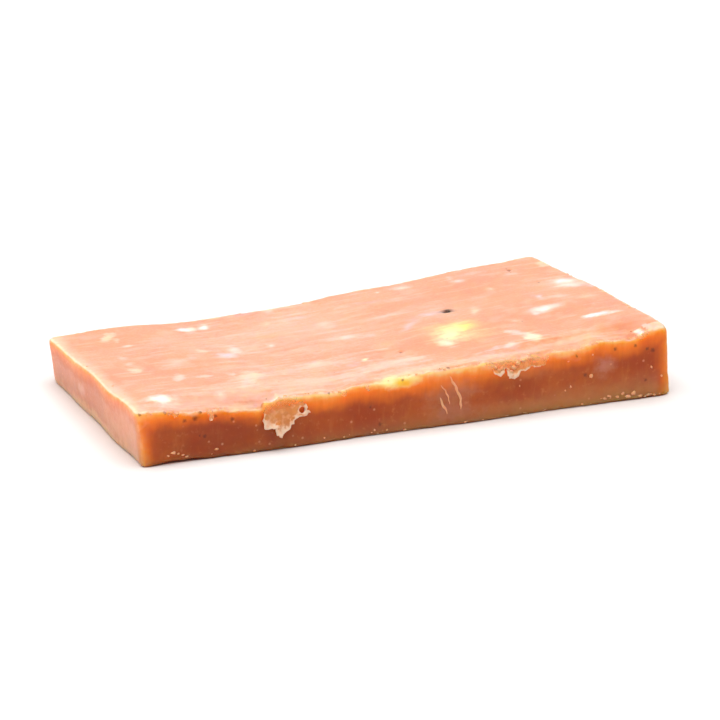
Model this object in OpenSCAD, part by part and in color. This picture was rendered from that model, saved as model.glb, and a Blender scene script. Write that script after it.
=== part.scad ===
// A hand-cut slab of soap, laid flat: an uneven top, softened and worn edges,
// and a thin torn flap hanging over the front.

/* [Plan] */
// Length of the front edge
bar_length = 92; // [75:1:110]
// Depth of the left end
bar_depth = 44; // [34:1:60]
// How much shorter the back edge is than the front edge
back_taper = 5; // [0:0.5:9]
// How much deeper the right end is than the left end
end_flare = 1.7; // [0:0.1:4]
// How far the right end bows outwards
end_bow = 0.7; // [0:0.1:2]
// Radius of the upright corners
corner_round = 1.3; // [0.6:0.1:3]

/* [Thickness] */
// Thickness at the front left corner
front_left_h = 9.5; // [8:0.1:20]
// Thickness at the front right corner
front_right_h = 11.9; // [8:0.1:20]
// Thickness at the back left corner
back_left_h = 7.7; // [6.5:0.1:20]
// Thickness at the back right corner
back_right_h = 10.2; // [6.5:0.1:20]
// How far the cut top dips between its ends
top_dip = 1.3; // [0:0.1:2.5]
// Distance of the deepest dip from the left end
dip_from_left = 34; // [20:1:50]
// How far the top swells between the corners of the right end
right_swell = 0.25; // [0:0.05:1]

/* [Walls] */
// How far the left end leans out towards the top
left_lean = 1.1; // [0:0.1:2.5]
// How far the right end spreads towards the base
right_spread = 0.6; // [0:0.1:2]
// Sideways waver that the knife leaves in the walls
wall_wave = 0.22; // [0:0.01:0.6]
// Height of the waves that the knife leaves in the top
top_wave = 0.12; // [0:0.01:0.4]

/* [Edges] */
// Radius of the softened upper edge
top_round = 0.5; // [0.3:0.1:1.2]
// Radius of the softened lower edge
base_round = 0.35; // [0.2:0.05:1]
// Raggedness of the front edge
edge_ragged = 0.18; // [0:0.01:0.4]

/* [Worn front] */
// Deepest wear of the front edge
front_wear = 1.8; // [0:0.1:2.5]
// How far behind the front the wear reaches
wear_reach = 4; // [2:0.5:8]
// Extra rounding along the scraped stretch of the front edge
scrape = 0.8; // [0:0.1:1.2]
// Length of the scraped stretch
scrape_run = 20; // [8:1:30]
// Distance of the scraped stretch from the right end
scrape_from_right = 12; // [4:1:30]
// Wear under the front left corner
heel_wear = 1.2; // [0:0.1:1.5]
// Length of the wear under the front left corner
heel_run = 14; // [6:1:30]

/* [Torn flap] */
// Distance of the flap's middle from the left end
flap_from_left = 24.6; // [15:0.1:45]
// Width of the flap at its root
flap_width = 7.8; // [4:0.1:10]
// Length of the flap down the front
flap_drop = 6.2; // [2:0.1:6.5]
// Thickness of the flap
flap_thick = 0.5; // [0.3:0.05:1]
// Angle at which the flap peels away from the front
flap_peel = 7; // [0:1:15]

/* [Hidden] */

// Cells of the skin along the length, across the depth and up the walls
cells_long = 60;
cells_deep = 22;
cells_up = 4;
// Steps round each softened edge and each upright corner
arc_steps = 4;
corner_steps = 3;
// Inset at which the flat of the top begins
top_inset = max(top_round + edge_ragged + scrape, corner_round) + 0.1;
// Wear of the front edge from left to right: place as a share of the length, depth as a share of the deepest
wear_line = [
    [0, 0.05], [0.045, 0.2], [0.075, 0.55], [0.15, 0.5], [0.22, 0.9], [0.235, 1], [0.25, 0.1], [0.33, 0.15],
    [0.38, 0.35], [0.395, 0], [0.43, 0], [0.48, 0.3], [0.52, 0], [0.62, 0.05], [0.68, 0.2], [0.71, 0.4],
    [0.78, 0.55], [0.84, 0.55], [0.87, 0.1], [0.9, 0.4], [0.945, 0.6], [0.975, 0], [1, 0]
];
// Depth to which the flap's root is sunk into the front wall
flap_root = 1;
// Distance of the flap's root below the top
flap_below = 0.5;
// Ragged outline of the flap, as shares of its width and drop, clockwise from its upper left
flap_shape = [
    [-0.5, 0], [0.34, 0], [0.42, -0.2], [0.5, -0.36], [0.47, -0.5], [0.3, -0.56], [0.2, -0.52], [0.14, -0.7],
    [0, -0.88], [-0.12, -1], [-0.2, -0.92], [-0.22, -0.72], [-0.46, -0.7], [-0.5, -0.45]
];

function lerp(a, b, t) = a + (b - a) * t;
function clamp(value, low, high) = max(low, min(high, value));
function ease(t) = (1 - cos(180 * clamp(t, 0, 1))) / 2;

// Height of a line of points at a place along it
function along_line(line, place, i = 0) =
    i >= len(line) - 2 || place <= line[i + 1][0]
        ? lerp(line[i][1], line[i + 1][1], (place - line[i][0]) / (line[i + 1][0] - line[i][0]))
        : along_line(line, place, i + 1);

// Share of the front wear that reaches a point y millimetres behind the front
function front_share(y) = 1 - ease(y / wear_reach);

// How far the top is worn down at a point of the outline
function worn(u, v) = front_wear * along_line(wear_line, u) * front_share(v * bar_depth);

// Extra radius of the front's upper edge at x millimetres from the left end
function scraped(x) =
    let (middle = bar_length - scrape_from_right - scrape_run / 2)
        scrape * (1 - ease(abs(x - middle) / (scrape_run / 2)))
        + edge_ragged * (sin(x * 83) + sin(x * 47 + 60)) / 2;

// Lift of the front's lower edge at x millimetres from the left end
function heel(x) = heel_wear * ease(3 * x / heel_run) * (1 - ease(2 * x / heel_run - 1));

// Radii of the upper and the lower edge at a point of the outline
function top_radius(u, v) = top_round + scraped(u * bar_length) * front_share(v * bar_depth);
function base_radius(u, v) = base_round + heel(u * bar_length) * front_share(v * bar_depth);

// The four cut walls, at the share h of the height
function left_x(v, h) =
    -bar_length / 2 - left_lean * h + wall_wave * sin(v * bar_depth * 21) * (1 - v);
function right_x(v, h) = bar_length / 2 - back_taper * v + end_bow * sin(180 * v) + right_spread * (1 - h);
function front_y(u, h) = -bar_depth / 2 + wall_wave * sin(u * bar_length * 11 + h * 50) * sin(180 * u);
function back_y(u, h) = bar_depth / 2 + end_flare * u + wall_wave * sin(u * bar_length * 9 - h * 40);

// Height of the cut top
function dip(x) = x < dip_from_left
    ? ease(x / dip_from_left)
    : 1 - ease((x - dip_from_left) / (bar_length - dip_from_left));
function top_z(u, v) =
    lerp(lerp(front_left_h, front_right_h, u), lerp(back_left_h, back_right_h, u), v)
    - top_dip * dip(u * bar_length)
    + right_swell * u * u * sin(180 * v)
    + top_wave * sin(u * bar_length * 17 + v * bar_depth * 5)
    + top_wave * sin(v * bar_depth * 19 - u * bar_length * 4)
    - worn(u, v);

// A point of the outline at height z, moved in by an inset and rounded at the upright corners
function wall_point(u, v, inset, z) =
    let (
        h = z / top_z(u, v),
        low = [left_x(v, h) + inset, front_y(u, h) + inset],
        high = [right_x(v, h) - inset, back_y(u, h) - inset],
        sharp = [lerp(low.x, high.x, u), lerp(low.y, high.y, v)],
        r = max(corner_round - inset, 0),
        centre = [clamp(sharp.x, low.x + r, high.x - r), clamp(sharp.y, low.y + r, high.y - r)],
        away = sharp - centre,
        plan = norm(away) > 0 ? centre + away * r / norm(away) : sharp
    )
    [plan.x, plan.y, z];

// Grid lines across a side, as shares of it, closer together at its corners
function grid_lines(span, cells) = concat(
    [for (i = [0 : corner_steps - 1]) corner_round / span * i / corner_steps],
    [for (i = [0 : cells]) lerp(corner_round, span - corner_round, i / cells) / span],
    [for (i = [corner_steps - 1 : -1 : 0]) 1 - corner_round / span * i / corner_steps]
);
u_lines = grid_lines(bar_length, cells_long);
v_lines = grid_lines(bar_depth, cells_deep);
last_u = len(u_lines) - 1;
last_v = len(v_lines) - 1;

// The outline walked once round: front, right, back and left
walk = concat(
    [for (i = [0 : last_u - 1]) [u_lines[i], 0]],
    [for (j = [0 : last_v - 1]) [1, v_lines[j]]],
    [for (i = [last_u : -1 : 1]) [u_lines[i], 1]],
    [for (j = [last_v : -1 : 1]) [0, v_lines[j]]]
);
around = len(walk);

// Rings from the base up to the rim of the flat top
function base_ring(step) = [
    for (w = walk) let (r = base_radius(w[0], w[1]), a = 90 * step / arc_steps)
        wall_point(w[0], w[1], r * (1 - sin(a)), r * (1 - cos(a)))
];
function side_ring(step) = [
    for (w = walk) let (low = base_radius(w[0], w[1]), high = top_z(w[0], w[1]) - top_radius(w[0], w[1]))
        wall_point(w[0], w[1], 0, lerp(low, high, step / cells_up))
];
function top_ring(step) = [
    for (w = walk) let (r = top_radius(w[0], w[1]), a = 90 * step / arc_steps)
        wall_point(w[0], w[1], r * (1 - cos(a)), top_z(w[0], w[1]) - r * (1 - sin(a)))
];
rings = concat(
    [for (step = [0 : arc_steps]) base_ring(step)],
    [for (step = [1 : cells_up - 1]) side_ring(step)],
    [for (step = [0 : arc_steps]) top_ring(step)]
);

// The flat of the top, row by row from the front
top_grid = [for (v = v_lines) for (u = u_lines) wall_point(u, v, top_inset, top_z(u, v))];

// Places of the points in the list of all points
ring_points = [for (ring = rings) for (p = ring) p];
grid_start = len(ring_points);
base_middle = grid_start + len(top_grid);
function on_ring(ring, k) = ring * around + k % around;
function on_grid(i, j) = grid_start + j * (last_u + 1) + i;
function on_rim(k) = let (n = k % around)
    n < last_u ? on_grid(n, 0)
    : n < last_u + last_v ? on_grid(last_u, n - last_u)
    : n < 2 * last_u + last_v ? on_grid(2 * last_u + last_v - n, last_v)
    : on_grid(0, around - n);

// Two triangles for a cell, its corners given clockwise as seen from outside
function cell(a, b, c, d) = [[a, b, c], [a, c, d]];

skin_faces = concat(
    [for (k = [0 : around - 1]) [base_middle, on_ring(0, k), on_ring(0, k + 1)]],
    [for (ring = [0 : len(rings) - 2]) for (k = [0 : around - 1])
        each cell(on_ring(ring, k), on_ring(ring + 1, k), on_ring(ring + 1, k + 1), on_ring(ring, k + 1))],
    [for (k = [0 : around - 1])
        each cell(on_ring(len(rings) - 1, k), on_rim(k), on_rim(k + 1), on_ring(len(rings) - 1, k + 1))],
    [for (j = [0 : last_v - 1]) for (i = [0 : last_u - 1])
        each cell(on_grid(i, j), on_grid(i, j + 1), on_grid(i + 1, j + 1), on_grid(i + 1, j))]
);

module cut_slab() {
    polyhedron(points = concat(ring_points, top_grid, [[0, 0, 0]]), faces = skin_faces, convexity = 4);
}

module torn_flap() {
    u = flap_from_left / bar_length;
    translate([flap_from_left - bar_length / 2, front_y(u, 1) + flap_root, top_z(u, 0) - flap_below])
        rotate([90 - flap_peel, 0, 0])
            linear_extrude(flap_root + flap_thick)
                polygon([for (p = flap_shape) [p.x * flap_width, p.y * flap_drop]]);
}

module soap_bar() {
    color("#cc8766")
        union() {
            cut_slab();
            torn_flap();
        }
}

soap_bar();
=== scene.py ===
import math
import random

import bmesh
import bpy
import numpy as np
from mathutils import Matrix, Vector, noise
from mathutils.bvhtree import BVHTree


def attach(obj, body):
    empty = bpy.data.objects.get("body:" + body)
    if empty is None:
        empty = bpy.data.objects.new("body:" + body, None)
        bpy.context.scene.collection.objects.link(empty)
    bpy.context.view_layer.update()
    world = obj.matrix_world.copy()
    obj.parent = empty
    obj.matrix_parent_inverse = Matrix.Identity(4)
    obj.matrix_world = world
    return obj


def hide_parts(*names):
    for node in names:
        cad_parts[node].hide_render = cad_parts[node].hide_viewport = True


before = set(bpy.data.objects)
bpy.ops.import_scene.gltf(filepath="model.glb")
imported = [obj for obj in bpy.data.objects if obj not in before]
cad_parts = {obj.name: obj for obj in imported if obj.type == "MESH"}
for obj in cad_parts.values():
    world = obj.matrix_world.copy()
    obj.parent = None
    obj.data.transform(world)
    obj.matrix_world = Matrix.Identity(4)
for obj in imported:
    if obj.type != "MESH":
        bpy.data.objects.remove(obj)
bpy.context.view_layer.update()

# Every size below is in millimetres, in the part's own frame, and becomes metres through this factor.
MM = 0.001


def linear(hex_colour):
    """An sRGB hex colour as the linear RGBA that Blender's sockets take."""
    parts = [int(hex_colour[i:i + 2], 16) / 255 for i in (1, 3, 5)]
    return [c / 12.92 if c <= 0.04045 else ((c + 0.055) / 1.055) ** 2.4 for c in parts] + [1.0]


def put(name, mesh):
    """A new object for a mesh, a light or the camera, in the scene."""
    piece = bpy.data.objects.new(name, mesh)
    bpy.context.scene.collection.objects.link(piece)
    return piece


def smoothstep(low, high, value):
    """A smooth rise from 0 at low to 1 at high."""
    t = min(max((value - low) / (high - low), 0), 1)
    return t * t * (3 - 2 * t)


def grain(x, y, z, seed):
    """Smooth noise between about -1 and 1."""
    return noise.noise(Vector((x + 17.3 * seed, y - 5.1 * seed, z + 3.7 * seed)))


def new_mesh(name, bm):
    """Closes a bmesh, built in millimetres, into a smooth-shaded mesh in metres."""
    bmesh.ops.scale(bm, vec=(MM, MM, MM), verts=bm.verts)
    mesh = bpy.data.meshes.new(name)
    bm.to_mesh(mesh)
    bm.free()
    mesh.shade_smooth()
    return mesh


def keep_values(mesh, name, values):
    """Keeps one number for each vertex, for the material to read."""
    mesh.attributes.new(name, "FLOAT", "POINT").data.foreach_set("value", np.array(values, dtype=np.float32))


# The slab

# Spacing of the even skin that the cast solid is copied onto
SKIN = 0.4
# The front wall is trimmed back to here where the torn flap is made as a sheet of its own
FLAP_LEFT, FLAP_RIGHT, WALL_Y = -26.2, -16.6, -22.12
# Height and depth of the block that trims the flap off, and the height of its middle
TRIM_HIGH, TRIM_DEEP, TRIM_Z = 12, 4, 6.6
# Points of the cast solid that are nearer than this are one point
MERGE_GAP = 0.002


def cad_copy(node):
    """The cast solid's own mesh with its doubles merged, in millimetres."""
    bm = bmesh.new()
    bm.from_mesh(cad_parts[node].data)
    bmesh.ops.scale(bm, vec=(1 / MM, 1 / MM, 1 / MM), verts=bm.verts)
    bmesh.ops.remove_doubles(bm, verts=bm.verts, dist=MERGE_GAP)
    return bm


def even_skin(node):
    """The cast solid's surface without its flap, on an even skin fine enough to carry the knife's marks."""
    piece = put("soap", new_mesh("soap", cad_copy(node)))
    trim_bm = bmesh.new()
    bmesh.ops.create_cube(trim_bm, size=1)
    bmesh.ops.scale(trim_bm, vec=(FLAP_RIGHT - FLAP_LEFT, TRIM_DEEP, TRIM_HIGH), verts=trim_bm.verts)
    middle = ((FLAP_LEFT + FLAP_RIGHT) / 2, WALL_Y - TRIM_DEEP / 2, TRIM_Z)
    bmesh.ops.translate(trim_bm, vec=middle, verts=trim_bm.verts)
    trim = put("trim", new_mesh("trim", trim_bm))
    cut = piece.modifiers.new("cut", "BOOLEAN")
    cut.operation = "DIFFERENCE"
    cut.object = trim
    skin = piece.modifiers.new("skin", "REMESH")
    skin.mode = "VOXEL"
    skin.voxel_size = SKIN * MM
    skin.use_smooth_shade = True
    evaluated = piece.evaluated_get(bpy.context.evaluated_depsgraph_get())
    piece.data = bpy.data.meshes.new_from_object(evaluated)
    piece.modifiers.clear()
    bpy.data.objects.remove(trim)
    return piece


def tree_of(mesh):
    """A search tree over a mesh, in millimetres."""
    bm = bmesh.new()
    bm.from_mesh(mesh)
    bmesh.ops.scale(bm, vec=(1 / MM, 1 / MM, 1 / MM), verts=bm.verts)
    tree = BVHTree.FromBMesh(bm)
    bm.free()
    return tree


DOWN = Vector((0, 0, -1))
LEFTWARD, RIGHTWARD = Vector((-1, 0, 0)), Vector((1, 0, 0))
FRONTWARD, BACKWARD = Vector((0, -1, 0)), Vector((0, 1, 0))
# Start of every ray, well outside the slab
FAR = 80
# The upright corners get as little of the painted glow as the wall does this far below its upper edge
UPRIGHT_SHADE = 0.9
# Along the front, how much shallower than elsewhere the painted glow is: place x and millimetres
GLOW_X = [-46, -42, -37, -29, -22, -12, -6, 0, 7, 14, 21, 28, 40]
GLOW_LESS = [0.3, 0.4, 1.5, 1.1, 0.2, 0.0, 0.5, -0.2, -0.5, -0.3, 0.2, 0.3, 0.4]
# Rays that look for a wall stay this far from the middle, so that they never pass beside it
SAFE_X, SAFE_Y = 38, 20.5
# They also stay this far from the base and the top
WALL_MARGIN = 1
# Rays that look for the top stay within these, and the right limit moves in towards the back as the end does
TOP_LEFT, TOP_RIGHT, TOP_FRONT, TOP_BACK = -45, 44, -21, 21.5
FRONT_Y, RIGHT_SLANT = -22, 0.16
# Distance from an edge past which it no longer matters
DEEPEST = 12


def surface(tree, place, towards):
    """Where a ray from far outside, travelling one way through a place, first meets the slab."""
    hit = tree.ray_cast(Vector(place) - towards * FAR, towards)[0]
    return hit if hit is not None else Vector(place)


def edge_distances(places, tree):
    """For each point of the skin: how far the nearest edge is, and the nearest one other than the base's,
    which sets the depth of the painted glow.
    """
    nearest, nearest_lit = [], []
    for x, y, z in places:
        safe_x = min(max(x, -SAFE_X), SAFE_X)
        safe_y = min(max(y, -SAFE_Y), SAFE_Y)
        right = TOP_RIGHT - RIGHT_SLANT * max(y - FRONT_Y, 0)
        over = (min(max(x, TOP_LEFT), right), min(max(y, TOP_FRONT), TOP_BACK), 0)
        top = surface(tree, over, DOWN).z
        level = min(max(z, WALL_MARGIN), top - WALL_MARGIN)
        walls = [
            y - surface(tree, (safe_x, 0, level), BACKWARD).y,
            surface(tree, (safe_x, 0, level), FRONTWARD).y - y,
            x - surface(tree, (0, safe_y, level), RIGHTWARD).x,
            surface(tree, (0, safe_y, level), LEFTWARD).x - x,
        ]
        gaps = [max(gap, 0) for gap in walls + [top - z]]
        nearest_wall, second_wall = sorted(gaps[:4])[:2]
        # The painted glow's depth: shallower at places along the front and at the upright corners
        shallow = np.interp(x, GLOW_X, GLOW_LESS) * (1 - smoothstep(0.3, 2, gaps[0]))
        nearest_lit.append(min(max(nearest_wall, gaps[4]), second_wall + UPRIGHT_SHADE, DEEPEST) + shallow)
        nearest.append(min(sorted(gaps + [max(z, 0)])[1], DEEPEST))
    return nearest, nearest_lit


# Small bites out of the front's upper edge: place x, size along the edge, depth
BITES = [
    (-37.2, 1.3, 0.3), (-35.4, 1.0, 0.35), (-33.6, 0.6, 0.25), (-29.0, 0.8, 0.2), (-12.5, 0.7, 0.2),
    (-3.6, 0.9, 0.3), (2.6, 0.6, 0.25), (11.8, 0.7, 0.2), (15.6, 1.2, 0.35), (19.4, 1.5, 0.4),
    (23.8, 1.1, 0.4), (29.2, 0.9, 0.3), (33.0, 0.6, 0.2), (38.8, 0.8, 0.3), (43.6, 0.6, 0.2),
]
# Pits in the top: place x and y, radius and depth
PITS = [(17.2, 4.2, 0.9, 0.5), (34.3, 18.2, 0.6, 0.3), (3.2, -10.3, 0.6, 0.25), (-8.6, -3.2, 0.8, 0.15)]
# Waves that the knife leaves in the top and in the walls: depth, length along, length across, and seed
TOP_WAVES = [(0.03, 30, 1.6, 1), (0.045, 26, 7, 2)]
WALL_WAVES = [(0.07, 7, 5, 3), (0.03, 1.6, 7, 4)]
# Crumbling of the edges: depth and size of what has broken off, then of the wider unevenness
BROKEN_DEEP, BROKEN_SIZE, UNEVEN_DEEP, UNEVEN_SIZE = 0.3, 1.3, 0.14, 4
# The edges crumble in full in front of this, and elsewhere by this share
CRUMBLE_Y, CRUMBLE_ELSEWHERE = -20, 0.4
# Upward part of the normal below which a point is on the base, and above which it is on the top
BASE_NORMAL, TOP_NORMAL = -0.9, 0.6
# Bites lie in front of this y and above this height; their depth wavers this many times in a millimetre
BITE_Y, BITE_Z, BITE_WAVES = -18, 5, 1.7


def mark(piece):
    """Knife marks on the cut faces and crumbled edges, as moves of the skin along its own normals."""
    mesh = piece.data
    count = len(mesh.vertices)
    places = np.zeros(count * 3)
    normals = np.zeros(count * 3)
    mesh.vertices.foreach_get("co", places)
    mesh.vertices.foreach_get("normal", normals)
    places = places.reshape(-1, 3) / MM
    normals = normals.reshape(-1, 3)
    edge_gap, lit_gap = edge_distances(places, tree_of(mesh))
    moved = places.copy()
    for i in range(count):
        x, y, z = places[i]
        nx, ny, nz = normals[i]
        if nz < BASE_NORMAL:
            continue
        flat = nz * nz
        along = x if abs(ny) > abs(nx) else y
        drag = sum(deep * grain(x / long, y / wide, 0, seed) for deep, long, wide, seed in TOP_WAVES)
        wall = sum(deep * grain(along / long, z / high, turned, seed)
                   for (deep, long, high, seed), turned in zip(WALL_WAVES, (nx, ny)))
        near = 1 - smoothstep(0.3, 1.4, edge_gap[i])
        broken = BROKEN_DEEP * max(0, grain(x / BROKEN_SIZE, y / BROKEN_SIZE, z / BROKEN_SIZE, 5))
        crumble = broken + UNEVEN_DEEP * grain(x / UNEVEN_SIZE, y / UNEVEN_SIZE, z / UNEVEN_SIZE, 6)
        push = drag * flat + wall * (1 - flat) - crumble * near * (1 if y < CRUMBLE_Y else CRUMBLE_ELSEWHERE)
        if y < BITE_Y and z > BITE_Z:
            for bite_x, length, depth in BITES:
                reach = abs(x - bite_x) / length
                if reach < 1:
                    ragged = 0.75 + 0.5 * grain(x * BITE_WAVES, y * BITE_WAVES, z * BITE_WAVES, 7)
                    push -= depth * ragged * (1 - reach * reach) * (1 - smoothstep(0.4, 1.5, edge_gap[i]))
        if nz > TOP_NORMAL:
            for pit_x, pit_y, radius, depth in PITS:
                reach = math.hypot(x - pit_x, y - pit_y) / radius
                push -= depth * (1 - smoothstep(0.35, 1, reach))
        moved[i] += normals[i] * push
    moved[:, 2] = np.maximum(moved[:, 2], 0)
    mesh.vertices.foreach_set("co", (moved * MM).ravel())
    mesh.update()
    keep_values(mesh, "edge", edge_gap)
    keep_values(mesh, "lit", lit_gap)


soap = even_skin("soap_bar")
mark(soap)
slab = tree_of(soap.data)


# The chips cast in the slab, as they show on its faces, and a few painted patches of light and shade

# Colours of what is cast in it; white also paints two glints
WHITE, MILK, CREAM, ROSE, LILAC, SMOKE = "#FEF2E8", "#FBE2D4", "#FBE6C4", "#F7CFC0", "#E6CAD6", "#BC8E98"
YELLOW, BUTTER, DARK = "#FAE678", "#FCF0B4", "#0A0606"
# Chips that show on the top, the wide faint ones first, and one painted glint: place x and y; half sizes
# along and across; turn in degrees; colour; strength; softness
TOP_CHIPS_AND_GLINT = [
    (20.0, 6.0, 14.0, 6.5, 0, "#F09C74", 0.24, 1.1), (-13.0, -10.0, 8.0, 2.2, 0, MILK, 0.36, 1.1),
    (14.0, -5.0, 4.2, 3.0, 0, "#FAD690", 0.56, 1.01), (-16.0, -17.0, 10.0, 3.4, 0, MILK, 0.42, 1.1),
    (-28.5, -20.4, 3.8, 1.5, 0, "#FFE2C4", 0.62, 1.0), (-23.0, -20.6, 3.4, 1.5, 0, "#FFE8CC", 0.6, 1.0),
    (-1.5, -19.6, 4.2, 1.7, 0, CREAM, 0.5, 1.1), (-34.0, -18.6, 9.0, 2.6, 0, MILK, 0.42, 1.1),
    (31.5, -19.4, 5.0, 2.2, 0, CREAM, 0.42, 1.1), (3.5, -20.0, 6.0, 1.6, 0, CREAM, 0.42, 1.1),
    (-26.0, -17.0, 9.0, 3.2, 0, "#FFD8BC", 0.4, 1.1), (-1.0, -15.0, 5.0, 2.2, 0, MILK, 0.45, 1.1),
    (19.0, -19.6, 6.5, 1.5, 0, MILK, 0.55, 1.1), (-7.0, 8.0, 15.0, 9.0, 0, "#FFE0CC", 0.24, 1.1),
    (15.0, -9.5, 3.2, 1.6, 0, "#FBE0A0", 0.4, 1.1), (-41.0, -17.2, 2.3, 2.2, 0, WHITE, 0.95, 0.68),
    (-30.9, -17.3, 0.9, 1.3, -15, WHITE, 0.56, 0.74), (-23.8, 17.8, 1.5, 1.4, 0, WHITE, 0.95, 0.68),
    (-20.9, 18.0, 1.1, 1.2, 0, WHITE, 0.9, 0.68), (-37.9, 17.4, 0.7, 1.9, -25, CREAM, 0.56, 0.74),
    (-37.0, 15.3, 0.5, 0.8, -25, CREAM, 0.42, 0.88), (-36.2, 12.2, 0.8, 0.7, 0, WHITE, 0.56, 0.74),
    (-39.4, -0.8, 0.9, 1.0, 0, CREAM, 0.56, 0.88), (-39.2, 2.6, 0.7, 0.9, 0, MILK, 0.42, 0.88),
    (-39.5, 6.3, 0.6, 1.0, 0, MILK, 0.35, 0.88), (-34.0, -6.5, 0.8, 1.5, -20, MILK, 0.56, 0.88),
    (-30.0, -7.8, 0.8, 0.8, 0, MILK, 0.42, 0.88), (-31.6, 0.6, 2.6, 1.8, 35, MILK, 0.35, 1.1),
    (-28.8, 2.2, 1.8, 1.2, 30, MILK, 0.35, 1.1), (-25.9, 4.9, 0.8, 1.3, 0, CREAM, 0.49, 0.88),
    (-22.6, 1.8, 1.9, 1.3, 20, LILAC, 0.9, 0.81), (-20.3, 4.0, 1.3, 1.5, 0, WHITE, 0.59, 0.81),
    (-17.2, 3.9, 1.2, 1.0, 10, CREAM, 0.35, 1.01), (-14.3, 4.0, 1.0, 0.8, 0, WHITE, 0.56, 0.81),
    (-12.0, 3.4, 1.3, 0.8, 0, ROSE, 0.35, 1.01), (-10.9, 14.1, 1.0, 1.0, 0, CREAM, 0.49, 0.88),
    (-8.1, 14.4, 1.1, 0.8, 0, ROSE, 0.49, 0.88), (-5.2, 15.2, 1.4, 1.0, 0, LILAC, 0.42, 1.01),
    (-8.4, 21.2, 0.8, 1.2, 0, MILK, 0.49, 1.01), (-12.8, 21.6, 1.7, 1.1, 0, SMOKE, 0.56, 0.88),
    (-2.8, 8.8, 1.2, 1.3, 0, MILK, 0.56, 0.94), (-1.5, 1.5, 2.4, 1.5, -8, WHITE, 0.52, 0.88),
    (1.8, 0.4, 1.6, 1.0, 0, MILK, 0.42, 1.01), (-22.6, -10.4, 1.8, 2.2, -20, CREAM, 0.59, 0.81),
    (-24.4, -13.4, 1.5, 2.0, -25, MILK, 0.56, 0.94), (-25.7, -8.7, 0.6, 0.8, 0, WHITE, 0.42, 0.88),
    (-11.0, -8.8, 3.2, 1.1, -18, MILK, 0.56, 0.88), (-7.6, -10.2, 1.6, 0.7, -30, MILK, 0.42, 1.01),
    (-6.0, -12.4, 1.4, 0.8, -20, LILAC, 0.32, 1.01), (-17.6, -11.8, 0.6, 0.5, 0, CREAM, 0.42, 0.88),
    (-3.4, -11.3, 0.45, 0.5, 0, BUTTER, 0.95, 0.74), (-13.5, 8.2, 2.6, 0.8, -10, "#F8CE92", 0.35, 1.1),
    (-19.0, 10.4, 1.0, 2.4, -18, ROSE, 0.28, 1.1), (-25.0, -4.4, 2.6, 1.2, 0, ROSE, 0.28, 1.1),
    (-29.0, 13.0, 3.4, 1.6, 10, ROSE, 0.24, 1.1), (15.2, 19.8, 1.3, 0.9, 0, WHITE, 0.52, 0.88),
    (11.2, 19.8, 0.5, 0.5, 0, WHITE, 0.49, 0.88), (24.4, 17.1, 1.1, 1.2, 20, WHITE, 0.59, 0.88),
    (24.0, 19.4, 0.6, 0.8, 0, MILK, 0.35, 0.88), (7.6, 15.2, 2.6, 0.9, -12, SMOKE, 0.49, 0.88),
    (11.8, 13.8, 2.4, 1.0, -8, ROSE, 0.42, 1.01), (3.2, 15.8, 2.0, 0.9, -8, MILK, 0.35, 1.01),
    (27.6, 19.2, 1.8, 0.9, 0, ROSE, 0.35, 1.01), (33.6, 16.0, 1.6, 1.2, 20, MILK, 0.42, 1.01),
    (40.6, 18.4, 0.7, 1.2, -20, CREAM, 0.42, 0.88), (27.9, 10.5, 0.6, 1.0, -30, CREAM, 0.49, 0.88),
    (14.2, 4.6, 1.8, 0.9, -6, LILAC, 0.75, 0.9), (17.1, 4.3, 1.5, 0.9, -8, DARK, 1.0, 0.5),
    (7.4, 7.9, 3.6, 0.9, -4, MILK, 0.49, 1.01), (9.2, 1.0, 3.2, 0.9, 46, LILAC, 0.56, 0.88),
    (21.2, 1.6, 0.6, 2.0, -20, CREAM, 0.56, 0.88), (33.0, 1.8, 0.8, 1.3, 0, LILAC, 0.9, 0.81),
    (35.6, 0.6, 1.9, 1.0, -12, MILK, 0.49, 1.01), (40.4, -1.8, 1.9, 1.4, 0, CREAM, 0.35, 1.1),
    (40.0, 8.4, 2.3, 2.3, 0, WHITE, 0.85, 0.7), (40.4, 5.4, 2.9, 1.6, -8, WHITE, 0.59, 0.74),
    (43.2, 3.6, 1.0, 0.8, 0, LILAC, 0.42, 0.88), (31.4, -3.8, 3.1, 1.6, 8, WHITE, 0.95, 0.9),
    (29.4, -5.0, 1.0, 0.9, 0, WHITE, 0.59, 0.74), (25.2, -6.3, 1.0, 0.8, 0, CREAM, 0.42, 1.01),
    (38.0, -10.9, 2.7, 1.0, 4, WHITE, 0.9, 0.74), (22.8, -11.8, 0.8, 1.9, 25, MILK, 0.59, 0.88),
    (24.3, -15.2, 1.0, 2.2, 0, CREAM, 0.95, 0.81), (19.8, -17.4, 1.2, 0.7, 0, WHITE, 0.59, 0.88),
    (17.2, -16.9, 0.9, 0.5, 0, LILAC, 0.49, 0.88), (11.4, -2.6, 1.6, 1.4, 0, "#F9C488", 0.42, 1.1),
    (16.0, -5.0, 3.3, 2.5, 0, YELLOW, 0.95, 0.8), (12.9, -7.4, 2.4, 2.9, -20, BUTTER, 0.95, 0.7),
    (11.4, -10.4, 1.1, 1.7, 30, "#FEF4D8", 0.85, 0.9), (2.4, -5.4, 1.9, 1.9, 0, "#F5B468", 0.42, 1.1),
    # The second here is a painted highlight: a white glint at the front right corner
    (-24.5, -18.6, 2.6, 2.0, 0, MILK, 0.42, 1.1), (41.0, -20.3, 0.6, 0.5, 0, WHITE, 0.9, 0.5),
]
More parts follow.
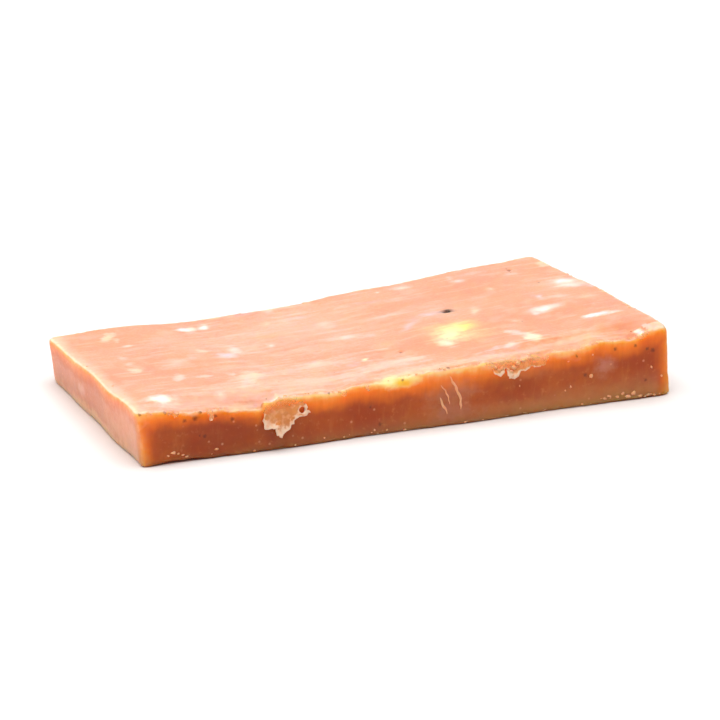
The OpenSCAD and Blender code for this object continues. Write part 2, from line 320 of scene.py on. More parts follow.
# Chips that show on the walls and the base, and a few painted patches of light, shade and highlight: place x,
# y, z; half sizes along each axis; colour; strength; softness
WALL_CHIPS_AND_PAINTED_LIGHT = [
    # Painted shade: the front's lower left is darker
    (-32.0, -22.0, 2.5, 8.0, 1.2, 3.6, "#8E3C14", 0.36, 1.1),
    (7.5, -22.0, 4.6, 3.2, 1.0, 3.2, "#E8B498", 0.22, 1.1),
    (-46.8, -17.0, 3.5, 1.2, 7.0, 5.0, "#F2BCA0", 0.35, 1.1),
    # Painted bounce light: the front is lighter along its base towards the right
    (30.0, -22.0, 0.9, 15.0, 3.0, 1.2, "#DE9454", 0.42, 1.1),
    (-36.2, -21.9, 8.7, 3.0, 1.2, 0.5, "#FFD2B0", 0.5, 0.9),
    (-29.2, -21.6, 9.1, 3.2, 1.6, 0.3, "#FFD2B0", 0.6, 0.6),
    # Painted bounce light: the left face is lighter along its foot
    (-46.6, -4.0, 0.7, 2.0, 19.0, 1.0, "#FFC090", 0.5, 0.9),
    (19.0, -21.8, 10.0, 6.0, 1.4, 0.6, "#FFC8A0", 0.6, 0.9),
    (21.5, -22.0, 7.5, 3.0, 1.0, 0.9, "#E8985C", 0.28, 0.9),
    (-7.0, -21.8, 8.6, 2.5, 1.2, 0.5, "#F89038", 0.5, 0.9),
    (-14.0, -21.6, 8.7, 3.0, 1.2, 0.5, "#FFD2A4", 0.5, 0.9),
    (28.5, -21.8, 9.8, 3.2, 1.4, 0.7, "#FFC69C", 0.45, 0.9),
    (-2.6, -21.5, 9.0, 3.6, 1.8, 1.0, "#FFE9A8", 0.9, 0.5),
    (-0.9, -22.0, 8.4, 1.4, 1.0, 0.7, "#FFC43C", 0.9, 0.5),
    (34.4, -22.0, 7.0, 1.3, 1.2, 1.6, "#E0A088", 0.5, 0.9),
    # Painted highlight: a white glint near the front's right upper corner
    (40.9, -21.2, 11.6, 0.5, 0.5, 0.4, WHITE, 0.9, 0.5),
    (6.2, -22.0, 3.0, 0.9, 0.8, 1.1, "#D08C70", 0.55, 0.7),
    (-36.6, -22.0, 7.5, 0.9, 0.8, 0.6, "#8A4322", 0.6, 0.7),
    (45.6, -9.0, 5.0, 1.5, 3.4, 1.2, LILAC, 0.35, 0.9), (44.8, 6.5, 7.2, 1.2, 1.1, 0.8, CREAM, 0.4, 0.8),
    (42.8, 14.0, 3.0, 1.2, 2.2, 0.8, ROSE, 0.3, 0.9), (33.0, 23.4, 5.0, 3.4, 1.2, 0.9, LILAC, 0.32, 0.9),
    (18.5, 23.0, 6.4, 1.1, 1.2, 0.7, WHITE, 0.38, 0.8), (7.5, 22.8, 3.0, 4.0, 1.2, 0.8, ROSE, 0.28, 0.9),
    (-12.8, 22.3, 6.6, 1.7, 1.2, 0.8, SMOKE, 0.55, 0.7),
    (-31.5, 22.0, 3.6, 1.3, 1.2, 1.2, CREAM, 0.35, 0.8), (-47.0, 6.0, 4.0, 1.2, 1.6, 0.9, ROSE, 0.35, 0.7),
    (-30.0, -8.0, 0.0, 3.2, 2.4, 1.0, LILAC, 0.5, 0.5), (-12.0, 9.0, 0.0, 2.4, 2.0, 1.0, CREAM, 0.6, 0.5),
    (3.0, -12.0, 0.0, 2.8, 1.8, 1.0, WHITE, 0.5, 0.5), (20.0, 11.0, 0.0, 3.4, 2.2, 1.0, WHITE, 0.5, 0.5),
    (34.0, -6.0, 0.0, 2.2, 2.8, 1.0, LILAC, 0.5, 0.5), (-2.0, 2.0, 0.0, 1.4, 1.0, 1.0, SMOKE, 0.6, 0.5),
    (-38.0, 13.0, 0.0, 1.8, 1.6, 1.0, CREAM, 0.5, 0.5),
]
# How far the chips' outlines waver, and over what distance
CHIP_WAVER, WAVER_LENGTH = 0.7, 1.9


def chips_and_painted_light_on(piece):
    """Keeps, for each point of the skin, how deep in a chip (or painted patch of light and shade) it lies and
    its strength and colour.
    """
    mesh = piece.data
    count = len(mesh.vertices)
    places = np.zeros(count * 3)
    normals = np.zeros(count * 3)
    mesh.vertices.foreach_get("co", places)
    mesh.vertices.foreach_get("normal", normals)
    places = places.reshape(-1, 3) / MM
    on_top = normals.reshape(-1, 3)[:, 2] > TOP_NORMAL
    waver = np.array([[grain(*(place / WAVER_LENGTH), seed) for seed in (15, 16, 17)] for place in places])
    places += CHIP_WAVER * waver
    chips = [((x, y, 5), (along, across, FAR), turn, tint, strength, soft, on_top)
             for x, y, along, across, turn, tint, strength, soft in TOP_CHIPS_AND_GLINT]
    chips += [(slab.find_nearest(Vector((x, y, z)))[0], sizes, 0, tint, strength, soft, np.full(count, True))
              for x, y, z, *sizes, tint, strength, soft in WALL_CHIPS_AND_PAINTED_LIGHT]
    inside = np.full(count, -1.0)
    strengths = np.zeros(count)
    tints = np.ones((count, 3))
    for middle, sizes, turn, tint, strength, soft, face in chips:
        along = math.cos(math.radians(turn)), math.sin(math.radians(turn))
        away = places - np.array(middle)
        local = np.stack([
            away[:, 0] * along[0] + away[:, 1] * along[1],
            away[:, 1] * along[0] - away[:, 0] * along[1],
            away[:, 2]], axis=1) / np.array(sizes)
        deep = np.where(face, (1 + soft - np.linalg.norm(local, axis=1)) / (2 * soft), -1)
        share = np.where(inside > 0, np.clip(deep, 0, 1), 1) * (deep > -1)
        tints += share[:, None] * (np.array(linear(tint)[:3]) - tints)
        strengths += share * (strength - strengths)
        inside = np.maximum(inside, deep)
    keep_values(mesh, "chip", inside)
    keep_values(mesh, "chip_and_painted_patch_strength", strengths)
    colours = mesh.attributes.new("chip_and_painted_patch_tint", "FLOAT_COLOR", "POINT")
    colours.data.foreach_set("color", np.hstack([tints, np.ones((count, 1))]).astype(np.float32).ravel())


chips_and_painted_light_on(soap)


# The torn flap and the small lips along the same edge

# Outlines, clockwise from the left of the root: x in the part's frame, then how far down the front they
# reach. A negative reach lies on the top, behind the edge.
FLAP_OUTLINE = [
    (-25.3, -0.3), (-23.5, -0.8), (-21.0, -0.7), (-19.4, -0.4), (-19.5, 0.5), (-19.9, 1.1), (-19.3, 1.0),
    (-18.5, 1.1), (-17.9, 2.0), (-17.3, 3.0), (-18.4, 3.5), (-19.3, 3.4), (-19.8, 3.6), (-20.2, 4.3),
    (-20.8, 5.1), (-21.8, 5.7), (-22.4, 6.6), (-23.1, 6.1), (-23.5, 5.0), (-23.5, 4.4), (-24.4, 4.3),
    (-25.4, 4.1), (-25.4, 2.4), (-25.2, 1.0),
]
# A hole torn in the flap's right lobe: its place and radius
FLAP_HOLE = (-18.8, 2.3, 0.36)
LIP_OUTLINES = [
    [(13.2, -0.2), (15.0, -0.4), (17.5, -0.5), (20.0, -0.5), (22.4, -0.4), (24.8, -0.2), (24.7, 0.5),
     (23.9, 1.1), (23.0, 1.6), (21.8, 1.8), (20.6, 1.7), (19.7, 1.9), (19.2, 2.5), (18.5, 3.2), (17.8, 3.4),
     (17.2, 2.8), (17.1, 2.0), (16.7, 1.4), (16.3, 2.2), (15.7, 2.6), (15.0, 2.0), (14.4, 1.2), (13.5, 0.6)],
    [(-34.9, -0.4), (-33.7, -0.4), (-33.8, 0.6), (-33.9, 1.5), (-34.4, 1.6), (-34.7, 0.6)],
    [(-41.6, -0.3), (-40.4, -0.6), (-39.3, -0.3), (-39.6, 0.5), (-40.6, 0.8), (-41.4, 0.5)],
    [(-12.0, -0.4), (-10.8, -0.4), (-10.9, 0.5), (-11.4, 0.9), (-11.8, 0.5)],
    [(-8.2, -0.8), (-6.9, -0.8), (-7.0, 0.5), (-7.4, 1.1), (-7.9, 0.5)],
    [(39.9, -0.3), (40.6, -0.7), (41.8, -0.7), (42.6, -0.3), (42.2, 0.2), (41.4, 0.6), (40.6, 0.4),
     (40.1, 0.2)],
]
# Spacing of a sheet's skin, and how far its outline wavers
SHEET_CELL = 0.2
SHEET_WAVER = 0.4
# Thickness of the flap and of the lips, and how far the tip of each stands off the wall
FLAP_THICK, FLAP_PEEL = 0.3, 0.7
LIP_THICK, LIP_PEEL = 0.2, 0.25
# Where the height of the front's upper edge is read
RIM_Y = -21.2
# How many times a sheet's outline wavers in a millimetre
OUTLINE_WAVES = 1.6
# Share of a cell within which a point of the grid moves onto the outline
SNAP = 0.6
# Ripples of a hanging sheet: height, size and seed
RIPPLES = [(0.35, 1.4, 8), (0.3, 0.55, 9)]
# On the top a sheet lies this high at the edge, and sinks by this much towards its root
ROOT_LIFT, ROOT_SINK = 0.05, 0.45
# Gap between a hanging sheet and the wall, and width of its curled rim
WALL_GAP, CURL_WIDTH = 0.1, 1.0


def outline_gap(outline, spot):
    """How far a point of a sheet is inside its outline, negative outside, and the outline's nearest point."""
    inside = False
    nearest = FAR
    foot = spot
    for first, second in zip(outline, outline[1:] + outline[:1]):
        start, end = Vector(first), Vector(second)
        if (start.y > spot.y) != (end.y > spot.y):
            if spot.x < start.x + (spot.y - start.y) / (end.y - start.y) * (end.x - start.x):
                inside = not inside
        share = min(max((spot - start).dot(end - start) / (end - start).length_squared, 0), 1)
        candidate = start.lerp(end, share)
        if (spot - candidate).length < nearest:
            nearest = (spot - candidate).length
            foot = candidate
    return (nearest if inside else -nearest), foot


def torn_sheet(outline, thickness, peel):
    """A thin sheet that lies on the top, folds over the front's upper edge and hangs down the wall."""
    s_low, s_high = min(p[0] for p in outline), max(p[0] for p in outline)
    t_low, t_high = min(p[1] for p in outline), max(p[1] for p in outline)
    sheet = bmesh.new()
    rim_gap = sheet.verts.layers.float.new("rim")
    depth = sheet.verts.layers.float.new("below")
    bmesh.ops.create_grid(sheet, x_segments=round((s_high - s_low) / SHEET_CELL),
                          y_segments=round((t_high - t_low) / SHEET_CELL), size=0.5)
    for v in sheet.verts:
        spot = Vector((
            (s_low + s_high) / 2 + v.co.x * (s_high - s_low),
            (t_low + t_high) / 2 + v.co.y * (t_high - t_low)))
        waver = Vector([grain(spot.x * OUTLINE_WAVES, spot.y * OUTLINE_WAVES, 0, seed) for seed in (10, 11)])
        gap, foot = outline_gap(outline, spot + SHEET_WAVER * waver)
        if abs(gap) < SNAP * SHEET_CELL:
            spot, gap = foot - SHEET_WAVER * waver, 0
        if outline is FLAP_OUTLINE:
            hole_x, hole_depth, hole_radius = FLAP_HOLE
            gap = min(gap, (spot - Vector((hole_x, hole_depth))).length - hole_radius)
        v.co = (spot.x, spot.y, 0)
        v[rim_gap] = gap
    bmesh.ops.delete(sheet, geom=[v for v in sheet.verts if v[rim_gap] < 0], context="VERTS")
    bmesh.ops.delete(sheet, geom=[v for v in sheet.verts if not v.link_faces], context="VERTS")
    for v in sheet.verts:
        s, t = v.co.x, v.co.y
        rim = surface(slab, (s, RIM_Y, 0), DOWN).z
        curl = 1 - smoothstep(0, CURL_WIDTH, v[rim_gap])
        v[depth] = t
        if t < 0:
            lift = ROOT_LIFT - ROOT_SINK * smoothstep(0, -t_low, -t)
            v.co = (s, WALL_Y + 0.4 - t, surface(slab, (s, WALL_Y + 0.9 - t, 0), DOWN).z + lift)
        else:
            wall = surface(slab, (s, 0, min(rim - t, rim - 1.2)), BACKWARD).y
            hang = peel * smoothstep(0, t_high, t)
            ripple = sum(high * grain(s / size, t / size, 0, seed) for high, size, seed in RIPPLES)
            lip = (0.25 + 0.35 * hang) * curl * (0.6 + 0.6 * grain(s / 1.1, t / 1.1, 0, 12)) * min(t, 1)
            v.co = (s, wall - WALL_GAP - hang - ripple * min(t, 1) - lip, rim + 0.02 - t + 0.25 * lip)
    bmesh.ops.smooth_vert(
        sheet, verts=sheet.verts, factor=0.5, use_axis_x=True, use_axis_y=True, use_axis_z=True)
    bmesh.ops.recalc_face_normals(sheet, faces=sheet.faces)
    bmesh.ops.solidify(sheet, geom=sheet.faces[:] + sheet.edges[:] + sheet.verts[:], thickness=thickness)
    bmesh.ops.recalc_face_normals(sheet, faces=sheet.faces)
    return sheet


def small_lips():
    """The small torn lips, joined into one piece."""
    bm = bmesh.new()
    for outline in LIP_OUTLINES:
        made = bpy.data.meshes.new("lip")
        sheet = torn_sheet(outline, LIP_THICK, LIP_PEEL)
        sheet.to_mesh(made)
        sheet.free()
        bm.from_mesh(made)
        bpy.data.meshes.remove(made)
    return put("torn_lips", new_mesh("torn_lips", bm))


flap = put("torn_flap", new_mesh("torn_flap", torn_sheet(FLAP_OUTLINE, FLAP_THICK, FLAP_PEEL)))
lips = small_lips()


# Crumbs and shavings stuck to the slab

dice = random.Random(7)
# Crumbs seen on the front wall: x, z and half sizes along and up
FRONT_CRUMBS = [
    (-41.5, 1.6, 0.3, 0.2), (-40.6, 2.0, 0.5, 0.28), (-39.8, 1.7, 0.3, 0.2), (-39.0, 1.4, 0.24, 0.16),
    (-33.3, 1.6, 0.4, 0.2), (32.1, 5.3, 0.34, 0.42), (28.5, 3.8, 0.24, 0.3), (27.5, 3.3, 0.2, 0.2),
    (19.4, 5.2, 0.14, 0.2), (28.0, 8.3, 0.24, 0.18), (32.3, 8.9, 0.26, 0.22), (42.8, 5.4, 0.22, 0.26),
    (44.7, 3.6, 0.2, 0.24), (35.4, 1.3, 0.5, 0.22), (36.8, 1.0, 0.4, 0.3), (37.8, 1.5, 0.34, 0.24),
    (38.6, 0.8, 0.6, 0.3), (39.7, 1.3, 0.5, 0.34), (40.9, 0.6, 0.5, 0.3), (42.3, 0.6, 0.4, 0.2),
    (-6.0, 1.0, 0.24, 0.2), (-0.7, 0.35, 0.4, 0.2), (-14.8, 1.0, 0.2, 0.24), (24.0, 0.3, 0.5, 0.12),
    (20.6, 0.3, 0.6, 0.12), (17.2, 0.35, 0.4, 0.12), (9.8, 0.4, 0.3, 0.2), (-26.8, 0.5, 0.2, 0.2),
    (-19.8, 0.5, 0.24, 0.24), (15.1, 9.0, 0.4, 0.28), (15.6, 8.6, 0.45, 0.3), (16.2, 8.8, 0.35, 0.4),
    (17.2, 8.5, 0.3, 0.4), (17.7, 8.0, 0.45, 0.4), (18.3, 8.6, 0.5, 0.35), (19.0, 9.3, 0.45, 0.35),
    (19.9, 9.5, 0.5, 0.25), (21.2, 9.8, 0.45, 0.25), (22.8, 10.1, 0.5, 0.25), (40.2, 11.2, 0.3, 0.2),
    (41.2, 11.3, 0.35, 0.25), (42.0, 11.5, 0.25, 0.2),
]
# Crumbs scattered along the edges: a start and an end, and how many
CRUMB_RUNS = [
    ((-45.5, -21.7, 9.2), (44.5, -21.7, 11.6), 70), ((-45.8, -21, 9.3), (-45.9, 20, 7.7), 5),
    ((30, -22, 0.7), (45.6, -22, 0.7), 11), ((-44, -22, 1.2), (20, -22, 0.5), 8),
    ((45.2, -20, 11.5), (42, 20, 10), 10), ((-44, 21.8, 7.6), (40, 23, 9.9), 9),
]
# How far scattered crumbs stray from their line, the smallest one's size and how much larger the largest is
CRUMB_STRAY, CRUMB_SMALLEST, CRUMB_RANGE = 0.3, 0.08, 0.18
# Below this height no crumb is scattered, as the bar rests there
CRUMB_FLOOR = 0.3
# How far a crumb may be turned, in radians, and how lumpy it is
CRUMB_TURN, CRUMB_LUMPS = 0.4, 0.8


def crumb(bm, place, normal, long, wide, high):
    """Adds one crumb, half sunk into the surface that it sticks to."""
    ball = bmesh.ops.create_icosphere(bm, subdivisions=1, radius=1)["verts"]
    turn = normal.to_track_quat("Z", "Y").to_matrix().to_4x4()
    spin = Matrix.Rotation(dice.uniform(-CRUMB_TURN, CRUMB_TURN), 4, "Z")
    for v in ball:
        v.co *= 1 + CRUMB_LUMPS * (dice.random() - 0.5)
    size = Matrix.Diagonal((long, wide, high, 1))
    bmesh.ops.transform(bm, matrix=Matrix.Translation(place) @ turn @ spin @ size, verts=ball)


def crumbs():
    """All the crumbs, as one piece."""
    bm = bmesh.new()
    hanging = tree_of(lips.data)
    for x, z, long, up in FRONT_CRUMBS:
        spots = [surface(tree, (x, 0, z), BACKWARD) for tree in (slab, hanging)]
        crumb(bm, min(spots, key=lambda spot: spot.y), FRONTWARD, long, up, 0.5 * up)
    for start, end, count in CRUMB_RUNS:
        for _ in range(count):
            near = Vector(start).lerp(Vector(end), dice.random())
            near += Vector([dice.gauss(0, CRUMB_STRAY) for _ in range(3)])
            spot, normal, _, _ = slab.find_nearest(near)
            if spot.z < CRUMB_FLOOR:
                continue
            size = CRUMB_SMALLEST + CRUMB_RANGE * dice.random() ** 2
            crumb(bm, spot, normal, size * 1.5, size, size * 0.6)
    return put("crumbs", new_mesh("crumbs", bm))


# Curled shavings on the front: the points that each one's middle follows, as x and z, and its width
SHAVINGS = [
    ([(6.9, 8.6), (7.5, 7.6), (8.1, 6.5), (8.6, 5.2), (8.9, 3.8), (9.0, 2.7)], 0.52),
    ([(5.4, 7.4), (6.1, 6.3), (6.7, 5.1), (7.1, 3.8)], 0.24),
    ([(5.2, 5.2), (5.6, 4.2), (6.2, 3.3), (6.6, 2.2)], 0.4),
]
# A shaving's thickness, and its gap from the wall
SHAVING_THICK, SHAVING_GAP = 0.12, 0.04


def shavings():
    """The shavings that cling to the front wall, as one piece."""
    bm = bmesh.new()
    for path, width in SHAVINGS:
        strip = bmesh.ops.create_grid(bm, x_segments=8 * (len(path) - 1), y_segments=2, size=0.5)["verts"]
        for v in strip:
            share, across = v.co.x + 0.5, v.co.y * 2
            place = share * (len(path) - 1)
            step = min(int(place), len(path) - 2)
            here, ahead = Vector(path[step]), Vector(path[step + 1])
            spot = here.lerp(ahead, place - step)
            side = (ahead - here).normalized().orthogonal()
            taper = math.sin(math.pi * min(max(share, 0.03), 0.97)) ** 0.6
            taper *= 1 + 0.7 * grain(spot.x * 1.4, spot.y * 1.4, 0, 13)
            spot += side * 0.25 * grain(spot.x * 1.1, spot.y * 1.1, 0, 14)
            spot += side * across * width / 2 * taper
            wall = surface(slab, (spot.x, 0, spot.y), BACKWARD).y
            v.co = (spot.x, wall - SHAVING_GAP - width * (0.2 + 0.25 * across) * taper, spot.y)
    bmesh.ops.smooth_vert(bm, verts=bm.verts, factor=0.5, use_axis_x=True, use_axis_y=True, use_axis_z=True)
    bmesh.ops.recalc_face_normals(bm, faces=bm.faces)
    bmesh.ops.solidify(bm, geom=bm.faces[:] + bm.edges[:] + bm.verts[:], thickness=SHAVING_THICK)
    bmesh.ops.recalc_face_normals(bm, faces=bm.faces)
    return put("shavings", new_mesh("shavings", bm))


loose_crumbs = crumbs()
curls = shavings()


# Materials

def add(tree, kind, inputs=(), **settings):
    """Adds a node with its settings, then sets or links its inputs, given as socket and value or output."""
    made = tree.nodes.new(kind)
    for name, value in settings.items():
        setattr(made, name, value)
    for socket, value in inputs:
        if isinstance(value, bpy.types.NodeSocket):
            tree.links.new(value, made.inputs[socket])
        else:
            made.inputs[socket].default_value = value
    return made


# Refraction of glycerine soap
SOAP_IOR = 1.47
# How far red light travels in the slab and in dried crumbs, and each colour's share of that
SLAB_REACH, SLAB_SHARES = 8 * MM, (1.0, 0.36, 0.11)
DRIED_REACH, DRIED_SHARES = 0.06 * MM, (1.0, 0.6, 0.4)
# Body colours of the soap
BODY_DEEP, BODY_LIGHT = "#B24810", "#C4601C"
# Dark pores and flecks: place x, y, z and radius
PORES = [
    (-46.2, -22.0, 9.3, 0.3), (-41.9, -22.0, 9.1, 0.3), (-38.7, -22.0, 7.2, 0.34),
    (-36.9, -22.0, 7.4, 0.42), (-35.8, -22.0, 8.4, 0.36), (-33.4, -22.0, 7.3, 0.3),
    (-30.6, -22.0, 6.4, 0.34), (-35.3, -22.0, 4.1, 0.32), (-36.1, -22.0, 4.3, 0.2),
    (-5.0, -22.0, 1.9, 0.36), (-6.7, -22.0, 5.1, 0.24), (-1.2, -22.0, 9.2, 0.28), (6.9, -21.6, 10.0, 0.3),
    (31.0, -22.0, 5.6, 0.36), (36.3, -22.0, 9.4, 0.3), (39.9, -22.0, 9.5, 0.3), (42.0, -22.0, 8.7, 0.28),
    (43.1, -22.0, 8.3, 0.34), (41.8, -22.0, 3.3, 0.3), (-13.8, -21.8, 8.6, 0.22), (34.3, 18.2, 10.2, 0.4),
    (3.2, -10.3, 8.6, 0.25), (36.2, 9.7, 10.4, 0.3), (29.5, -21.8, 9.0, 0.22),
]
# Colour of the pores, and how strongly it covers the soap
PORE_COLOUR, PORE_MOST = "#5A2412", 0.72
# Painted glow: the amber of light coming through the soap, painted into the wall near its upper and outer
# edges: depth in from the edge and colour
PAINTED_GLOW = [(0.2, "#FFC488"), (0.8, "#FFA64A"), (1.7, "#F28A20"), (2.9, "#D66C18"), (4.6, BODY_DEEP)]
# Depth at which the painted glow's colours end
PAINTED_GLOW_END = 5.0
# Faces of the slab: axis, and the part of the normal along it at which the face starts and is full
FACES = [("top", "Z", 0.6, 0.9), ("front", "Y", -0.2, -0.6), ("left", "X", -0.5, -0.85)]
# Noises of the soap: size of a grain in millimetres along x, y and z, detail and roughness
GRAINS = [
    ("clouds", (11, 11, 11), 4, 0.62), ("mottle", (1.1, 1.1, 1.1), 3, 0.6),
    ("blotches", (4.5, 3.2, 3.2), 2, 0.5), ("waver", (2.2, 2.2, 2.2), 3, 0.6),
    ("drag", (8, 1.2, 2), 3, 0.6), ("fingers", (0.9, 0.9, 5), 3, 0.55),
    ("ragged", (1.0, 1.0, 1.0), 3, 0.6), ("lines", (10, 0.4, 1.2), 3, 0.6),
    ("fine", (0.4, 0.4, 0.4), 3, 0.6), ("shake", (0.5, 0.5, 0.5), 1, 0.5),
]


def soap_faces(tree, place):
    """How far the surface turns to the top, the front and the left, each by name, and to any of the walls."""
    normal = add(tree, "ShaderNodeSeparateXYZ", [(0, place.outputs["Normal"])])
    facing = {}
    for name, axis, low, high in FACES:
        facing[name] = add(tree, "ShaderNodeMapRange", [
            ("Value", normal.outputs[axis]), ("From Min", low), ("From Max", high)]).outputs[0]
    facing["walls"] = add(tree, "ShaderNodeMath", [
        (0, 1.0), (1, facing["top"])], operation="SUBTRACT").outputs[0]
    return facing


def soap_grains(tree, where):
    """The noises of the soap, by name."""
    grains = {}
    for name, size, detail, roughness in GRAINS:
        sized = add(tree, "ShaderNodeMapping", [("Vector", where), ("Scale", tuple(1 / s for s in size))])
        grains[name] = add(tree, "ShaderNodeTexNoise", [
            ("Vector", sized.outputs[0]), ("Scale", 1.0), ("Detail", detail), ("Roughness", roughness)])
    return grains


def wavering_place(tree, where, grains):
    """A place that wavers a little, for bands that follow an edge."""
    centred = add(tree, "ShaderNodeVectorMath", [
        (0, grains["waver"].outputs["Color"]), (1, (0.5, 0.5, 0.5))], operation="SUBTRACT")
    moved = add(tree, "ShaderNodeVectorMath", [
        (0, centred.outputs[0]), (1, (1.9, 1.9, 1.2)), (2, where)], operation="MULTIPLY_ADD")
    return add(tree, "ShaderNodeSeparateXYZ", [(0, moved.outputs[0])])


def painted_glow_in_walls(tree, grains, facing):
    """Colour and strength of the painted glow: the light that comes through the walls near their edges,
    painted into their colour. It reaches in unevenly, like flames on the front, and less deep on the other
    walls."""
    uneven = add(tree, "ShaderNodeAttribute", attribute_name="lit").outputs["Fac"]
    for name, reach in (("fingers", 1.3), ("blotches", 2.6)):
        uneven = add(tree, "ShaderNodeMath", [
            (0, grains[name].outputs["Fac"]), (1, reach), (2, uneven)], operation="MULTIPLY_ADD").outputs[0]
    shallow = add(tree, "ShaderNodeMapRange", [
        ("Value", facing["front"]), ("To Min", -0.8), ("To Max", -1.9)]).outputs[0]
    depth = add(tree, "ShaderNodeMath", [(0, uneven), (1, shallow)]).outputs[0]
    share = add(tree, "ShaderNodeMath", [(0, depth), (1, PAINTED_GLOW_END)], operation="DIVIDE").outputs[0]
    amber = add(tree, "ShaderNodeValToRGB", [(0, share)])
    while len(amber.color_ramp.elements) < len(PAINTED_GLOW):
        amber.color_ramp.elements.new(1.0)
    for element, (reach, tint) in zip(amber.color_ramp.elements, PAINTED_GLOW):
        element.position = reach / PAINTED_GLOW_END
        element.color = linear(tint)
    glow = add(tree, "ShaderNodeMapRange", [
        ("Value", depth), ("From Min", 4.8), ("From Max", 2.6)], interpolation_type="SMOOTHSTEP")
    return amber.outputs[0], glow.outputs[0]


def body_film_and_painted_light(tree, where, grains, facing):
    """The soap's colour without its chips: body, painted glow in the walls, a pale film with painted sheen
    and light on the top and left face, and edge wear with painted highlights.
    """
    apart = wavering_place(tree, where, grains)
    amber, glow = painted_glow_in_walls(tree, grains, facing)
    # Wear near the edges, a mask that also paints a highlight along them, and the same on the walls above the
    # base
    edge = add(tree, "ShaderNodeAttribute", attribute_name="edge").outputs["Fac"]
    wear_and_highlight = add(tree, "ShaderNodeMath", [
        (0, grains["ragged"].outputs["Fac"]), (1, -1.4), (2, edge)], operation="MULTIPLY_ADD").outputs[0]
    over_base = add(tree, "ShaderNodeMapRange", [
        ("Value", apart.outputs["Z"]), ("From Min", 1.6), ("From Max", 3.2)]).outputs[0]
    wall_wear_and_highlight = add(tree, "ShaderNodeMath", [
        (0, facing["walls"]), (1, over_base)], operation="MULTIPLY").outputs[0]
    # The left wall gets less of the painted glow than the others
    painted_glow_faces = add(tree, "ShaderNodeMath", [
        (0, facing["left"]), (1, -0.5), (2, facing["walls"])], operation="MULTIPLY_ADD").outputs[0]
    # Height over the base, less towards the right, for the painted bounce light on the front
    bounce_height = add(tree, "ShaderNodeMath", [
        (0, apart.outputs["X"]), (1, -0.05), (2, apart.outputs["Z"])], operation="MULTIPLY_ADD").outputs[0]
    # Layers from the body outwards: what drives each, the values at which it starts and is full, its most,
    # the faces that it lies on, and its colour
    colour = linear(BODY_DEEP)
    for driver, low, high, most, face, tint in (
            (grains["clouds"].outputs["Fac"], 0.35, 0.65, 1.0, 1.0, BODY_LIGHT),
            (grains["mottle"].outputs["Fac"], 0.55, 0.75, 0.45, 1.0, "#E08A50"),
            (grains["mottle"].outputs["Fac"], 0.45, 0.25, 0.3, 1.0, "#9C4216"),
            (grains["fingers"].outputs["Fac"], 0.55, 0.75, 0.3, facing["front"], "#D07838"),
            # Painted light: the left face is painted paler, partly as a film and partly as the light falling
            # on that side
            (facing["left"], 0.0, 1.0, 0.5, 1.0, "#EAAC90"),
            # Painted bounce light: the front is lighter near its base, more so towards the right
            (bounce_height, 4.0, -0.2, 0.42, facing["front"], "#CE8A5C"),
            # Painted glow: the amber of light coming through the soap, painted into the walls near their
            # edges
            (glow, 0.0, 1.0, 1.0, painted_glow_faces, amber),
            # Painted sheen: the top is painted paler, partly as a waxy film and partly as the reflection of
            # the bright surroundings
            (facing["top"], 0.0, 1.0, 0.56, 1.0, "#FDB086"),
            (grains["blotches"].outputs["Fac"], 0.5, 0.75, 0.16, facing["top"], "#FFDCC6"),
            (grains["blotches"].outputs["Fac"], 0.48, 0.28, 0.14, facing["top"], "#F4A46C"),
            (grains["drag"].outputs["Fac"], 0.54, 0.74, 0.2, facing["top"], "#FFE2D0"),
            # Painted highlight: the top is paler towards its left end, along the rounded left upper edge
            (apart.outputs["X"], -44.0, -46.4, 0.4, facing["top"], "#FFE0C4"),
            # Wear on the edges, paler on the top and warmer on the walls, partly a painted highlight of the
            # rounded edges
            (wear_and_highlight, 0.1, -0.5, 0.55, facing["top"], "#FFE2C8"),
            (wear_and_highlight, 0.0, -0.6, 0.35, wall_wear_and_highlight, "#FFC090")):
        share = add(tree, "ShaderNodeMapRange", [
            ("Value", driver), ("From Min", low), ("From Max", high), ("To Max", most)],
            interpolation_type="SMOOTHSTEP").outputs[0]
        masked = add(tree, "ShaderNodeMath", [(0, share), (1, face)], operation="MULTIPLY").outputs[0]
        colour = add(tree, "ShaderNodeMix", [
            (0, masked), ("A", colour), ("B", linear(tint) if isinstance(tint, str) else tint)],
            data_type="RGBA").outputs[2]
    return colour


def with_chips_and_painted_light(tree, colour, grains):
    """The chips, and the painted patches of light and shade, over a colour, their rims feathered along the
    knife's way.
    """
    inside = add(tree, "ShaderNodeAttribute", attribute_name="chip").outputs["Fac"]
    strength = add(tree, "ShaderNodeAttribute", attribute_name="chip_and_painted_patch_strength").outputs["Fac"]
    tint = add(tree, "ShaderNodeAttribute", attribute_name="chip_and_painted_patch_tint").outputs["Color"]
    for name, reach in (("drag", 1.2), ("ragged", 0.8)):
        centred = add(tree, "ShaderNodeMath", [
            (0, grains[name].outputs["Fac"]), (1, 0.5)], operation="SUBTRACT").outputs[0]
        inside = add(tree, "ShaderNodeMath", [
            (0, centred), (1, reach), (2, inside)], operation="MULTIPLY_ADD").outputs[0]
    share = add(tree, "ShaderNodeMapRange", [("Value", inside)], interpolation_type="SMOOTHSTEP").outputs[0]
    masked = add(tree, "ShaderNodeMath", [(0, share), (1, strength)], operation="MULTIPLY").outputs[0]
    return add(tree, "ShaderNodeMix", [
        (0, masked), ("A", colour), ("B", tint)], data_type="RGBA").outputs[2]


